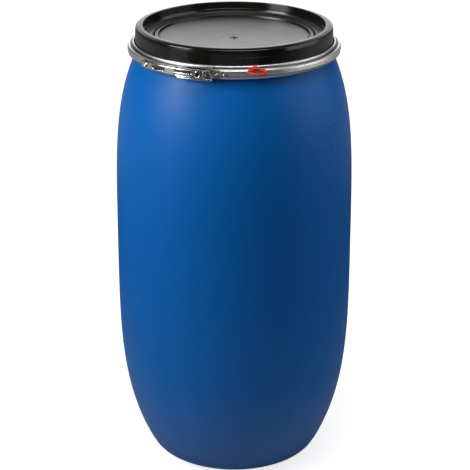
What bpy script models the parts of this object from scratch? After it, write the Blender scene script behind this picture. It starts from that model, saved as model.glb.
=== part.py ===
"""Open-head plastic drum with a moulded lid, a split clamp band, an over-centre
lever closure and a plastic seal pin.

Metres, +Z up. The origin is the centre of the base on the floor. Azimuths are in
degrees round the drum's axis, 0 at the front (-Y), positive towards +X.
"""
import math

import bmesh
import bpy
from mathutils import Vector

# Drum body
BELLY_RADIUS = 0.2505
BELLY_HEIGHT = 0.500
FOOT_DROP = 0.081          # how far the lower wall pulls in, down to the floor
FOOT_POWER = 3.85
SHOULDER_HEIGHT = 0.8985   # where the shoulder meets the neck
SHOULDER_DROP = 0.0460     # how far the upper wall pulls in, up to the shoulder
SHOULDER_POWER = 3.9
WALL = 0.0040
BASE_RADIUS = 0.1422       # the flat ring that the drum stands on, outer edge
BASE_CORNER = 0.0465       # radius of the rounded bottom corner
BASE_CORNER_SWEEP = 67.5
BASE_PUSH_UP = 0.0060      # the middle of the base stands this far off the floor
NECK_RADIUS = 0.2013
MOUTH_RADIUS = 0.1970
MOUTH_HEIGHT = 0.9465
COLLAR_RADIUS = 0.2150
COLLAR_LOW = 0.9020
COLLAR_HIGH = 0.9070
ROUND_SIDES = 48

# Lid
LID_TOP = 0.9560
LID_SHEET = 0.0030
LID_RIM_INNER = 0.1889
LID_RIM_OUTER = 0.2046
LID_RIM_INNER_CORNER = 0.0026
LID_RIM_OUTER_CORNER = 0.0050
LID_RIM_FALL = 0.0016      # how far the rim's top falls outward, to its outer corner
LID_LEDGE = 0.9310         # floor of the lid's recess, outside the stacking ridge
LID_RIDGE = 0.9350         # flat top of the stacking ridge
LID_GROOVE = 0.9298        # bottom of the grooves beside the ridge
PANEL_RADIUS = 0.1530
PANEL_EDGE = 0.9320
PANEL_DISH = 0.0068
LID_FLANGE_RADIUS = 0.2110
LID_FLANGE_HIGH = 0.9150

# Gasket in the lid's channel, over the drum's mouth
GASKET_INNER = 0.1930
GASKET_OUTER = 0.2005
GASKET_LOW = 0.9469
GASKET_HIGH = 0.9526

# Clamp band: one sprung strip, made as two halves that meet at the back
BAND_SHEET = 0.0012
BAND_OUTER = 0.2212
BAND_HINGE_RADIUS = 0.2206
BAND_SPLIT = -10.75        # azimuth of the split at the front
BAND_SPLIT_GAP = 0.4
BAND_STEP = 5.0
BAND_MIDDLE = 0.9090       # height of the middle of the band's flat web

# Lever closure
CLOSURE_SHEET = 0.0011
LEVER_TIP = -54.5
LEVER_WEB_END = -17.6
LEVER_EAR_END = -14.8
LEVER_INNER = 0.2233
LEVER_OUTER = 0.2302
LEVER_HALF_HEIGHT = 0.0085
LEVER_TIP_HALF_HEIGHT = 0.0050
PIVOT_AZIMUTH = -15.5
PIVOT_RADIUS = 0.2258
PIVOT_PIN_RADIUS = 0.0012
PIVOT_HOLE_RADIUS = 0.0016
KNUCKLE_RADIUS = 0.0038
KNUCKLE_HALF_HEIGHT = 0.0060
EYELET_AZIMUTH = -50.4
EYELET_HOLE = 0.0030
EYELET_OUTER = 0.0026
EYELET_INNER = 0.0016
EYELET_FLANGE = 0.0040

# Draw bail: a bent wire from the lever to the catch
BAIL_WIRE = 0.0020
BAIL_LEVER_AZIMUTH = -30.3
BAIL_LEVER_RADIUS = 0.2262
BAIL_CATCH_AZIMUTH = -11.3
BAIL_CATCH_RADIUS = 0.2252
BAIL_HALF_HEIGHT = 0.0112
BAIL_END_HALF_HEIGHT = 0.0055
BAIL_CORNER = 0.0036
BAIL_HOLE = 0.0024

# Brackets riveted to the two ends of the band
PLATE_INNER = 0.2216
HINGE_PLATE_START = -33.0
HINGE_PLATE_END = -13.4
HINGE_PLATE_HALF_HEIGHT = 0.0055
HINGE_RIVETS = (-30.5, -20.5)
CATCH_PLATE_START = -12.25
CATCH_PLATE_END = -3.1
CATCH_HALF_HEIGHT = 0.0086
CATCH_END_HALF_HEIGHT = 0.0040
CATCH_LIP = 0.32           # degrees of lip in front of the bail's crossbar
CATCH_RIVETS = (-8.8, -5.0)
RIVET_SHANK = 0.0016
RIVET_HOLE = 0.0020
RIVET_HEAD = 0.0028
RIVET_HEAD_HEIGHT = 0.0014

# Seal pin with a finger loop
SEAL_AZIMUTH = 11.5
SEAL_LOOP_AZIMUTH = 11.3
SEAL_SHANK_PLACE = 0.2165
SEAL_SHANK_RADIUS = 0.0012
SEAL_HOLE = 0.0017
SEAL_BOTTOM = 0.9125
SEAL_STUB_HEAD = (0.2160, 10.20, 0.9250)
SEAL_STUB_FOOT = (0.2200, 11.30, 0.9212)
SEAL_STUB_RADIUS = 0.0038
SEAL_LOOP_PLACE = 0.2345
SEAL_LOOP_HEIGHT = 0.9177
SEAL_LOOP_ACROSS = 0.0180  # half width of the loop, round the drum
SEAL_LOOP_REACH = 0.0135   # half width of the loop, outward
SEAL_LOOP_DROOP = 8.4      # degrees that the loop hangs down outward
SEAL_LOOP_LEAN = 3.0       # degrees that its right side hangs down
SEAL_STRAND = 0.0023

GAP = 0.0004

COLOURS = {
    "drum_blue": ((0.004, 0.105, 0.400), 0.42, 0.0),
    "lid_black": ((0.012, 0.012, 0.010), 0.38, 0.0),
    "gasket_grey": ((0.060, 0.060, 0.060), 0.80, 0.0),
    "band_steel": ((0.560, 0.560, 0.545), 0.38, 1.0),
    "closure_steel": ((0.620, 0.620, 0.600), 0.30, 1.0),
    "seal_red": ((0.730, 0.010, 0.005), 0.40, 0.0),
}


def clear_scene():
    for item in list(bpy.data.objects):
        bpy.data.objects.remove(item, do_unlink=True)


def material(name):
    colour, roughness, metallic = COLOURS[name]
    finish = bpy.data.materials.get(name) or bpy.data.materials.new(name)
    finish.use_nodes = True
    shader = finish.node_tree.nodes["Principled BSDF"]
    shader.inputs["Base Color"].default_value = (*colour, 1.0)
    shader.inputs["Roughness"].default_value = roughness
    shader.inputs["Metallic"].default_value = metallic
    return finish


def round_point(radius, azimuth, height):
    """A point at a radius, an azimuth and a height, in the drum's frame."""
    turn = math.radians(azimuth)
    return Vector((radius * math.sin(turn), -radius * math.cos(turn), height))


def finish_object(name, mesh_builder, finish, place=None):
    """Make the object. With a place, its origin moves there and its shape stays."""
    mesh = bpy.data.meshes.new(name)
    bmesh.ops.recalc_face_normals(mesh_builder, faces=mesh_builder.faces)
    if place is not None:
        bmesh.ops.translate(mesh_builder, verts=mesh_builder.verts, vec=-place)
    mesh_builder.to_mesh(mesh)
    mesh_builder.free()
    mesh.materials.append(material(finish))
    mesh.shade_smooth()
    mesh.set_sharp_from_angle(angle=math.radians(35))
    item = bpy.data.objects.new(name, mesh)
    bpy.context.scene.collection.objects.link(item)
    if place is not None:
        item.location = place
    return item


def sweep(sections, closed):
    """Join equal closed outlines into one solid, round in a ring or with two ends."""
    builder = bmesh.new()
    rings = [[builder.verts.new(point) for point in section] for section in sections]
    pairs = list(zip(rings, rings[1:]))
    if closed:
        pairs.append((rings[-1], rings[0]))
    for here, there in pairs:
        for index in range(len(here)):
            after = (index + 1) % len(here)
            builder.faces.new((here[index], here[after], there[after], there[index]))
    if not closed:
        builder.faces.new(rings[0])
        builder.faces.new(rings[-1])
    return builder


def turned(outline, sides=ROUND_SIDES):
    """A closed outline of (radius, height) points, turned right round the axis."""
    sections = []
    for side in range(sides):
        azimuth = 360.0 * side / sides
        sections.append([round_point(radius, azimuth, height) for radius, height in outline])
    builder = sweep(sections, closed=True)
    bmesh.ops.remove_doubles(builder, verts=builder.verts, dist=1e-6)
    bmesh.ops.dissolve_degenerate(builder, edges=builder.edges, dist=1e-6)
    return builder


def arc_of(centre, radius, start, end, steps):
    """Points of an arc in the (radius, height) plane, angles in degrees from +radius."""
    points = []
    for step in range(steps + 1):
        turn = math.radians(start + (end - start) * step / steps)
        points.append((centre[0] + radius * math.cos(turn), centre[1] + radius * math.sin(turn)))
    return points


def sheet_outline(line, thickness):
    """The closed outline of a sheet whose middle follows a line of points."""
    sides = ([], [])
    for index, point in enumerate(line):
        before = Vector(line[max(index - 1, 0)])
        after = Vector(line[min(index + 1, len(line) - 1)])
        along = (after - before).normalized()
        normal = Vector((-along.y, along.x)) * thickness / 2
        sides[0].append(tuple(Vector(point) + normal))
        sides[1].append(tuple(Vector(point) - normal))
    return sides[0] + sides[1][::-1]


def steps_between(start, end, largest):
    count = max(1, math.ceil(abs(end - start) / largest - 1e-9))
    return [start + (end - start) * step / count for step in range(count + 1)]


def curved_plate(start, end, inner, outer, half_heights, middle=BAND_MIDDLE):
    """A plate bent round the band. half_heights gives its half height at each end."""
    sections = []
    for azimuth in steps_between(start, end, 2.5):
        share = (azimuth - start) / (end - start)
        half = half_heights[0] + (half_heights[1] - half_heights[0]) * share
        low = middle - half
        high = middle + half
        corners = ((inner, low), (outer, low), (outer, high), (inner, high))
        sections.append([round_point(radius, azimuth, height) for radius, height in corners])
    return sweep(sections, closed=False)


def cutter(name, builder):
    item = finish_object(name, builder, "closure_steel")
    item.hide_render = True
    item.display_type = "WIRE"
    return item


def combine(item, other, operation):
    step = item.modifiers.new(operation.lower() + "_" + other.name, "BOOLEAN")
    step.operation = operation
    step.solver = "EXACT"
    step.object = other


def rod(centre, axis, radius, length, sides=16):
    """A solid rod through a centre along an axis."""
    builder = bmesh.new()
    bmesh.ops.create_cone(builder, cap_ends=True, segments=sides, radius1=radius,
                          radius2=radius, depth=length)
    turn = axis.to_track_quat("Z", "Y").to_matrix().to_4x4()
    bmesh.ops.transform(builder, matrix=turn, verts=builder.verts)
    bmesh.ops.translate(builder, verts=builder.verts, vec=centre)
    return builder


def radial_hole(name, item, azimuth, radius, height=BAND_MIDDLE):
    reach = 0.012
    outward = round_point(1.0, azimuth, 0.0)
    hole = cutter(name, rod(round_point(BAND_OUTER, azimuth, height), outward, radius, 2 * reach))
    combine(item, hole, "DIFFERENCE")


def upright_hole(name, item, place, azimuth, radius):
    tall = 0.060
    centre = round_point(place, azimuth, BAND_MIDDLE)
    hole = cutter(name, rod(centre, Vector((0, 0, 1)), radius, tall))
    combine(item, hole, "DIFFERENCE")


# The drum

def wall_radius(height):
    """Outer radius of the barrel wall between the base corner and the shoulder."""
    if height < BELLY_HEIGHT:
        share = (BELLY_HEIGHT - height) / BELLY_HEIGHT
        return BELLY_RADIUS - FOOT_DROP * share ** FOOT_POWER
    share = (height - BELLY_HEIGHT) / (SHOULDER_HEIGHT - BELLY_HEIGHT)
    return BELLY_RADIUS - SHOULDER_DROP * share ** SHOULDER_POWER


def make_drum_body():
    corner_centre = (BASE_RADIUS, BASE_CORNER)
    corner = arc_of(corner_centre, BASE_CORNER, -90, -90 + BASE_CORNER_SWEEP, 4)
    inner_corner = arc_of(corner_centre, BASE_CORNER - WALL, -90, -90 + BASE_CORNER_SWEEP, 3)
    heights = (0.10, 0.20, 0.34, BELLY_HEIGHT, 0.66, 0.76, 0.83, 0.875, SHOULDER_HEIGHT)
    push_edge = BASE_RADIUS - 0.030
    outer = [(0.0, BASE_PUSH_UP), (push_edge - 0.012, BASE_PUSH_UP), (push_edge, 0.0)]
    outer += corner
    outer += [(wall_radius(height), height) for height in heights]
    outer += [(COLLAR_RADIUS - 0.0010, COLLAR_LOW), (COLLAR_RADIUS, COLLAR_HIGH - 0.0010)]
    outer += [(COLLAR_RADIUS - 0.0020, COLLAR_HIGH), (NECK_RADIUS, COLLAR_HIGH + 0.0008)]
    outer += [(NECK_RADIUS, MOUTH_HEIGHT), (MOUTH_RADIUS, MOUTH_HEIGHT)]
    inner_heights = [height for height in heights if height < SHOULDER_HEIGHT]
    inner = [(MOUTH_RADIUS, SHOULDER_HEIGHT + WALL)]
    inner += [(wall_radius(height) - WALL, height) for height in reversed(inner_heights)]
    inner += inner_corner[::-1]
    inner += [(push_edge, WALL), (push_edge - 0.012, BASE_PUSH_UP + WALL), (0.0, BASE_PUSH_UP + WALL)]
    finish_object("drum_body", turned(outer + inner), "drum_blue")


def make_lid():
    top = [(0.0, PANEL_EDGE - PANEL_DISH), (PANEL_RADIUS * 0.6, PANEL_EDGE - PANEL_DISH * 0.70)]
    top += [(PANEL_RADIUS, PANEL_EDGE), (PANEL_RADIUS + 0.0008, LID_GROOVE), (0.1568, LID_GROOVE)]
    top += [(0.1582, LID_RIDGE), (0.1645, LID_RIDGE), (0.1656, LID_GROOVE), (0.1678, LID_GROOVE)]
    top += [(0.1690, LID_LEDGE), (0.1838, LID_LEDGE), (0.1860, LID_LEDGE + 0.0020)]
    top += [(0.1870, 0.9410), (LID_RIM_INNER - 0.0003, 0.9418)]
    corner = LID_RIM_INNER_CORNER
    rim = arc_of((LID_RIM_INNER + corner, LID_TOP - corner), corner, 180, 90, 3)
    corner = LID_RIM_OUTER_CORNER
    rim += arc_of((LID_RIM_OUTER - corner, LID_TOP - LID_RIM_FALL - corner), corner, 80, 0, 4)
    skirt = [(0.2055, 0.9230), (0.2060, LID_FLANGE_HIGH)]
    skirt += [(LID_FLANGE_RADIUS, LID_FLANGE_HIGH), (LID_FLANGE_RADIUS, 0.9090), (0.2026, 0.9088)]
    channel = [(0.2021, 0.9180), (0.2018, LID_TOP - 0.0065), (0.1996, LID_TOP - LID_SHEET)]
    channel += [(0.1934, LID_TOP - LID_SHEET), (0.1915, LID_TOP - 0.0065)]
    under = [(0.1908, PANEL_EDGE - 0.0040), (0.1885, PANEL_EDGE - 0.0055)]
    under += [(0.1500, PANEL_EDGE - 0.0055), (0.0, PANEL_EDGE - PANEL_DISH - LID_SHEET)]
    finish_object("drum_lid", turned(top + rim + skirt + channel + under), "lid_black")


def make_gasket():
    height = GASKET_HIGH - GASKET_LOW
    middle = (GASKET_INNER + GASKET_OUTER) / 2
    outline = [(GASKET_INNER, GASKET_LOW), (GASKET_OUTER, GASKET_LOW)]
    outline += [(GASKET_OUTER, GASKET_LOW + height * 0.6), (middle + 0.0022, GASKET_HIGH)]
    outline += [(middle - 0.0022, GASKET_HIGH), (GASKET_INNER, GASKET_LOW + height * 0.6)]
    finish_object("lid_gasket", turned(outline), "gasket_grey")


# The clamp band

def band_outline():
    """The band's rolled section, from its lower lip up to its top bead."""
    web = BAND_OUTER - BAND_SHEET / 2
    line = [(0.2087, 0.8975), (0.2165, 0.8993), (web - 0.0006, 0.9026), (web, 0.9060)]
    line += [(web, 0.9130), (web - 0.0010, 0.9160), (0.2168, 0.9170), (0.2140, 0.9160)]
    line += [(0.2120, 0.9182), (0.2104, 0.9220), (0.2086, 0.9227)]
    return sheet_outline(line, BAND_SHEET)


def make_band_half(name, start, end):
    outline = band_outline()
    sections = []
    for azimuth in steps_between(start, end, BAND_STEP):
        sections.append([round_point(radius, azimuth, height) for radius, height in outline])
    hinge_place = round_point(BAND_HINGE_RADIUS, 180.0, BAND_MIDDLE)
    return finish_object(name, sweep(sections, closed=False), "band_steel", hinge_place)


def make_band():
    half_gap = BAND_SPLIT_GAP / 2
    left = make_band_half("clamp_band_left", -180.0 + half_gap, BAND_SPLIT - half_gap)
    right = make_band_half("clamp_band_right", BAND_SPLIT + half_gap, 180.0 - half_gap)
    for index, azimuth in enumerate(HINGE_RIVETS, start=1):
        radial_hole(f"band_left_hole_{index}", left, azimuth, RIVET_HOLE)
    for index, azimuth in enumerate(CATCH_RIVETS, start=1):
        radial_hole(f"band_right_hole_{index}", right, azimuth, RIVET_HOLE)
    seal_hole = rod(round_point(SEAL_SHANK_PLACE, SEAL_AZIMUTH, 0.9170), Vector((0, 0, 1)),
                    SEAL_HOLE, 0.010)
    combine(right, cutter("band_right_seal_hole", seal_hole), "DIFFERENCE")


# The closure

def make_hinge_bracket():
    plate_outer = PLATE_INNER + CLOSURE_SHEET
    builder = curved_plate(HINGE_PLATE_START, HINGE_PLATE_END, PLATE_INNER, plate_outer,
                           (HINGE_PLATE_HALF_HEIGHT, HINGE_PLATE_HALF_HEIGHT))
    bracket = finish_object("hinge_bracket", builder, "closure_steel")
    centre = round_point(PIVOT_RADIUS, PIVOT_AZIMUTH, BAND_MIDDLE)
    knuckle = rod(centre, Vector((0, 0, 1)), KNUCKLE_RADIUS, 2 * KNUCKLE_HALF_HEIGHT)
    combine(bracket, cutter("hinge_knuckle", knuckle), "UNION")
    upright_hole("hinge_pin_hole", bracket, PIVOT_RADIUS, PIVOT_AZIMUTH, PIVOT_HOLE_RADIUS)
    for index, azimuth in enumerate(HINGE_RIVETS, start=1):
        radial_hole(f"hinge_plate_hole_{index}", bracket, azimuth, RIVET_HOLE)
        make_rivet(f"hinge_rivet_{index}", azimuth)


def make_catch_bracket():
    plate_outer = PLATE_INNER + CLOSURE_SHEET
    neck = BAND_SPLIT + 3.6
    builder = curved_plate(CATCH_PLATE_START, neck, PLATE_INNER, plate_outer,
                           (CATCH_HALF_HEIGHT, CATCH_HALF_HEIGHT))
    bracket = finish_object("catch_bracket", builder, "closure_steel")
    tongue = curved_plate(neck - 0.5, CATCH_PLATE_END, PLATE_INNER, plate_outer,
                          (CATCH_HALF_HEIGHT * 0.7, CATCH_END_HALF_HEIGHT))
    combine(bracket, cutter("catch_tongue", tongue), "UNION")
    lip = curved_plate(CATCH_PLATE_START, CATCH_PLATE_START + CATCH_LIP, PLATE_INNER + 0.0002,
                       BAIL_CATCH_RADIUS - 0.0004, (CATCH_HALF_HEIGHT, CATCH_HALF_HEIGHT))
    combine(bracket, cutter("catch_lip", lip), "UNION")
    for index, azimuth in enumerate(CATCH_RIVETS, start=1):
        radial_hole(f"catch_plate_hole_{index}", bracket, azimuth, RIVET_HOLE)
        make_rivet(f"catch_rivet_{index}", azimuth)


def make_rivet(name, azimuth):
    """A domed head outside the bracket, a shank and a flat tail inside the band."""
    head_seat = PLATE_INNER + CLOSURE_SHEET + GAP - BAND_OUTER
    tail_seat = -BAND_SHEET - GAP
    outline = [(0.0, tail_seat - 0.0010), (RIVET_HEAD * 0.85, tail_seat - 0.0010)]
    outline += [(RIVET_HEAD * 0.85, tail_seat), (RIVET_SHANK, tail_seat), (RIVET_SHANK, head_seat)]
    outline += [(RIVET_HEAD, head_seat), (RIVET_HEAD * 0.90, head_seat + RIVET_HEAD_HEIGHT * 0.6)]
    outline += [(RIVET_HEAD * 0.5, head_seat + RIVET_HEAD_HEIGHT), (0.0, head_seat + RIVET_HEAD_HEIGHT)]
    item = finish_object(name, turned(outline, sides=12), "closure_steel")
    item.location = round_point(BAND_OUTER, azimuth, BAND_MIDDLE)
    item.rotation_euler = round_point(1.0, azimuth, 0.0).to_track_quat("Z", "Y").to_euler()


def lever_section(azimuth, half):
    """The lever's channel: a web outside, with a flange above and one below."""
    low = BAND_MIDDLE - half
    high = BAND_MIDDLE + half
    sheet = CLOSURE_SHEET
    corners = [(LEVER_INNER, low), (LEVER_OUTER, low), (LEVER_OUTER, high), (LEVER_INNER, high)]
    corners += [(LEVER_INNER, high - sheet), (LEVER_OUTER - sheet, high - sheet)]
    corners += [(LEVER_OUTER - sheet, low + sheet), (LEVER_INNER, low + sheet)]
    return [round_point(radius, azimuth, height) for radius, height in corners]


def make_lever():
    full = LEVER_TIP + 2.4
    sections = [lever_section(LEVER_TIP, LEVER_TIP_HALF_HEIGHT)]
    for azimuth in steps_between(full, LEVER_EAR_END, 2.5):
        sections.append(lever_section(azimuth, LEVER_HALF_HEIGHT))
    pivot = round_point(PIVOT_RADIUS, PIVOT_AZIMUTH, BAND_MIDDLE)
    lever = finish_object("lever", sweep(sections, closed=False), "closure_steel", pivot)
    window = curved_plate(LEVER_WEB_END, LEVER_EAR_END + 2.0, LEVER_INNER - 0.002,
                          LEVER_OUTER + 0.002, (LEVER_HALF_HEIGHT - CLOSURE_SHEET,) * 2)
    combine(lever, cutter("lever_window", window), "DIFFERENCE")
    upright_hole("lever_pin_hole", lever, PIVOT_RADIUS, PIVOT_AZIMUTH, PIVOT_HOLE_RADIUS)
    upright_hole("lever_bail_hole", lever, BAIL_LEVER_RADIUS, BAIL_LEVER_AZIMUTH, BAIL_HOLE)
    radial_hole("lever_eyelet_hole", lever, EYELET_AZIMUTH, EYELET_HOLE)


def make_lever_pin():
    pivot = round_point(PIVOT_RADIUS, PIVOT_AZIMUTH, BAND_MIDDLE)
    builder = rod(pivot, Vector((0, 0, 1)), PIVOT_PIN_RADIUS, 2 * LEVER_HALF_HEIGHT)
    finish_object("lever_pin", builder, "closure_steel", pivot)


def make_lever_eyelet():
    """A rolled eyelet in the lever's tip, where a seal can be threaded."""
    base = LEVER_OUTER + GAP
    outline = [(EYELET_INNER, -0.0020), (EYELET_OUTER, -0.0020), (EYELET_OUTER, GAP)]
    outline += [(EYELET_FLANGE, GAP), (EYELET_FLANGE, GAP + 0.0005), (EYELET_OUTER, GAP + 0.0011)]
    outline += [(EYELET_INNER, GAP + 0.0005)]
    item = finish_object("lever_eyelet", turned(outline, sides=16), "closure_steel")
    item.location = round_point(base, EYELET_AZIMUTH, BAND_MIDDLE)
    outward = round_point(1.0, EYELET_AZIMUTH, 0.0)
    item.rotation_euler = outward.to_track_quat("Z", "Y").to_euler()


def bail_route():
    """Middle line of the bail's wire: in at the lever, along, down, back and in again."""
    def corner(place, azimuth, toward, height, sign, entering):
        """Two points that round the turn between an arm and an upright stretch."""
        step = math.degrees(BAIL_CORNER / place) * toward
        turned_away = (place, azimuth + step, height)
        upright = (place, azimuth, height - sign * BAIL_CORNER)
        middle = (place, azimuth + step * 0.3, height - sign * BAIL_CORNER * 0.3)
        ordered = [upright, middle, turned_away]
        return ordered if entering else ordered[::-1]

    lever_end = (BAIL_LEVER_RADIUS, BAIL_LEVER_AZIMUTH)
    catch_end = (BAIL_CATCH_RADIUS, BAIL_CATCH_AZIMUTH)
    middle_stations = steps_between(0.0, 1.0, 0.2)[1:-1]
    points = []
    for sign in (1, -1):
        height = BAND_MIDDLE + sign * BAIL_HALF_HEIGHT
        stretch = [(*lever_end, BAND_MIDDLE + sign * BAIL_END_HALF_HEIGHT)]
        stretch += corner(*lever_end, 1, height, sign, entering=True)
        for share in middle_stations:
            radius = lever_end[0] + (catch_end[0] - lever_end[0]) * share
            azimuth = lever_end[1] + (catch_end[1] - lever_end[1]) * share
            stretch.append((radius, azimuth, height))
        stretch += corner(*catch_end, -1, height, sign, entering=False)
        points += stretch if sign > 0 else stretch[::-1]
    return [round_point(*point) for point in points]


def make_bail():
    points = bail_route()
    place = round_point(BAIL_LEVER_RADIUS, BAIL_LEVER_AZIMUTH, BAND_MIDDLE)
    wire = bpy.data.curves.new("draw_bail", "CURVE")
    wire.dimensions = "3D"
    wire.bevel_depth = BAIL_WIRE
    wire.bevel_resolution = 2
    wire.use_fill_caps = True
    route = wire.splines.new("POLY")
    route.points.add(len(points) - 1)
    for spot, point in zip(route.points, points):
        spot.co = (*(point - place), 1.0)
    wire.materials.append(material("closure_steel"))
    item = bpy.data.objects.new("draw_bail", wire)
    bpy.context.scene.collection.objects.link(item)
    item.location = place


# The seal pin

def make_seal_pin():
    """A shank through the band, a leaning stub on it, and a finger loop that hangs down."""
    stub_head = round_point(*SEAL_STUB_HEAD)
    stub_foot = round_point(*SEAL_STUB_FOOT)
    top = stub_foot.z
    place = round_point(SEAL_SHANK_PLACE, SEAL_AZIMUTH, (top + SEAL_BOTTOM) / 2)
    shank = rod(place, Vector((0, 0, 1)), SEAL_SHANK_RADIUS, top - SEAL_BOTTOM, sides=12)
    pin = finish_object("seal_pin", shank, "seal_red", place)
    stub = rod((stub_foot + stub_head) / 2, stub_head - stub_foot, SEAL_STUB_RADIUS,
               (stub_head - stub_foot).length, sides=12)
    combine(pin, cutter("seal_stub", stub), "UNION")

    centre = round_point(SEAL_LOOP_PLACE, SEAL_LOOP_AZIMUTH, SEAL_LOOP_HEIGHT)
    droop = math.radians(SEAL_LOOP_DROOP)
    lean = math.radians(SEAL_LOOP_LEAN)
    outward = round_point(math.cos(droop), SEAL_LOOP_AZIMUTH, -math.sin(droop))
    sideways = round_point(math.cos(lean), SEAL_LOOP_AZIMUTH + 90.0, -math.sin(lean))
    upright = sideways.cross(outward).normalized()
    sections = []
    for step in range(28):
        turn = 2 * math.pi * step / 28
        across = sideways * math.cos(turn) * SEAL_LOOP_ACROSS
        across += outward * math.sin(turn) * SEAL_LOOP_REACH
        away = sideways * math.cos(turn) * SEAL_LOOP_REACH
        away += outward * math.sin(turn) * SEAL_LOOP_ACROSS
        away.normalize()
        section = []
        for side in range(8):
            angle = 2 * math.pi * side / 8
            spread = away * math.cos(angle) + upright * math.sin(angle)
            section.append(centre + across + spread * SEAL_STRAND)
        sections.append(section)
    loop = sweep(sections, closed=True)
    combine(pin, cutter("seal_loop", loop), "UNION")


def main():
    clear_scene()
    make_drum_body()
    make_lid()
    make_gasket()
    make_band()
    make_hinge_bracket()
    make_catch_bracket()
    make_lever()
    make_lever_pin()
    make_lever_eyelet()
    make_bail()
    make_seal_pin()


main()
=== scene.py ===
import math

import bmesh
import bpy
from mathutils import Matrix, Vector


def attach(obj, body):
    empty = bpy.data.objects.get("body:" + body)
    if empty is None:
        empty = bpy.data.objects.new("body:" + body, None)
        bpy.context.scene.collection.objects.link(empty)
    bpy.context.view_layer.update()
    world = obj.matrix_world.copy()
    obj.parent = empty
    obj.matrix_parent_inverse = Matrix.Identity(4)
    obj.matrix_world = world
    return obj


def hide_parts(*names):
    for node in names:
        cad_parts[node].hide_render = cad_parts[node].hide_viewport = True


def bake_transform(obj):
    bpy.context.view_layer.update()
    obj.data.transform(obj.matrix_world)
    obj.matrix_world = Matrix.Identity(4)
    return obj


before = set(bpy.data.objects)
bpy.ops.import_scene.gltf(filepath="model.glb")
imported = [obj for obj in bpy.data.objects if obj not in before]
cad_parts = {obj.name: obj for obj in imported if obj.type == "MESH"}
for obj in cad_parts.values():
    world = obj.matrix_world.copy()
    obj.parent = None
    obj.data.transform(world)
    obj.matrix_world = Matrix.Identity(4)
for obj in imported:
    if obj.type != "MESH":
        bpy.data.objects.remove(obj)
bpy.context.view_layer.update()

# Everything is in metres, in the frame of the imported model: +Z up, origin at the centre of
# the base. Azimuths are in degrees round the drum, 0 at the front (-Y), positive to +X.

# Drum wall
BELLY_RADIUS = 0.2505
BELLY_HEIGHT = 0.500
FOOT_DROP = 0.081
FOOT_POWER = 3.85
SHOULDER_HEIGHT = 0.8985
SHOULDER_DROP = 0.0460
SHOULDER_POWER = 3.9
WALL = 0.0040
BASE_RADIUS = 0.1422
BASE_CORNER = 0.0465
BASE_CORNER_SWEEP = 67.5
BASE_PUSH_UP = 0.0060
RECESS_RADIUS = 0.1002
NECK_RADIUS = 0.2013
MOUTH_RADIUS = 0.1970
MOUTH_HEIGHT = 0.9465
COLLAR_RADIUS = 0.2150
COLLAR_LOW = 0.9020
COLLAR_HIGH = 0.9070
SEAM_HEIGHT = 0.00030       # the blow mould's parting line, proud of the wall
SEAM_WIDTH = 0.0009
MOULD_DIALS = ((54.1, 0.7725), (53.0, 0.7235))
MOULD_DIAL_RADIUS = 0.0165

# Lid
LID_TOP = 0.9560
LID_SHEET = 0.0030
RIM_INNER = 0.1889
RIM_OUTER = 0.2046
RIM_PEAK = 0.95625          # where the rim's top would meet its inner wall, unrounded
LEDGE = 0.9345
LEDGE_INNER = 0.1688
LEDGE_OUTER = 0.1845
RIDGE_TOP = 0.9350
RIDGE_INNER = 0.1578
RIDGE_OUTER = 0.1647
GROOVE = 0.9298
PANEL_RADIUS = 0.1530
PANEL_EDGE = 0.9320
PANEL_DISH = 0.0068
LID_FLANGE_RADIUS = 0.2110
LID_FLANGE_HIGH = 0.9150

# Clamp band and closure
BAND_SHEET = 0.0012
BAND_OUTER = 0.2212
BAND_SPLIT = -10.75
BAND_SPLIT_GAP = 0.4
BAND_MIDDLE = 0.9090
CLOSURE_SHEET = 0.0011
LEVER_TIP = -54.5
LEVER_WEB_END = -16.8
LEVER_HOLE = -18.4          # a small oval hole beside the window over the pivot
LEVER_EAR_END = -14.8
LEVER_CORNER = 0.0016
LEVER_SLOT = -41.1          # the middle of the long pressed slot
LEVER_RIB = (-30.9, -22.3)  # where its raised rib starts, and where it starts to fade
LEVER_INNER = 0.2233
LEVER_OUTER = 0.2302
LEVER_HALF_HEIGHT = 0.0085
PIVOT_AZIMUTH = -15.5
PIVOT_RADIUS = 0.2258
BAIL_WIRE = 0.0020
BAIL_LEVER_AZIMUTH = -30.3
BAIL_LEVER_RADIUS = 0.2262
BAIL_CATCH_AZIMUTH = -11.3
BAIL_CATCH_RADIUS = 0.2252
BAIL_HALF_HEIGHT = 0.0112
PLATE_INNER = 0.2216
RIVET_BORE = 0.0020
PIN_BORE = 0.0016
HINGE_PLATE_START = -33.0
HINGE_PLATE_END = -13.4
HINGE_HALF_HEIGHT = 0.0055
HINGE_RIVETS = (-30.5, -20.5)
CATCH_PLATE_START = -12.25
CATCH_PLATE_END = -3.1
CATCH_STEP = (-7.6, -6.9)   # where the plate narrows to its tongue
CATCH_HALF_HEIGHT = 0.0086
CATCH_RIVETS = (-8.8, -5.0)
EYELET_AZIMUTH = -50.4

# Seal pin
SEAL_AZIMUTH = 11.5
SEAL_SHANK_PLACE = 0.2165
SEAL_STUB_HEAD = (0.2160, 10.20, 0.9250)
SEAL_STUB_FOOT = (0.2200, 11.30, 0.9212)
SEAL_STUB_RADIUS = 0.0038
SEAL_LOOP_AZIMUTH = 11.3
SEAL_LOOP_PLACE = 0.2345
SEAL_LOOP_HEIGHT = 0.9177
SEAL_LOOP_ACROSS = 0.0180
SEAL_LOOP_REACH = 0.0135
SEAL_LOOP_DROOP = 8.4
SEAL_LOOP_LEAN = 3.0
SEAL_STRAND = 0.0023
SEAL_BORE = 0.0017

FINE_SIDES = 288
ROD_SIDES = 32

# Camera
CAMERA_DISTANCE = 3.656
CAMERA_HEIGHT = 1.894
CAMERA_PITCH = 21.038
CAMERA_LENS = 138.97
CAMERA_SHIFT = 0.0017


# Geometry helpers

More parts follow.
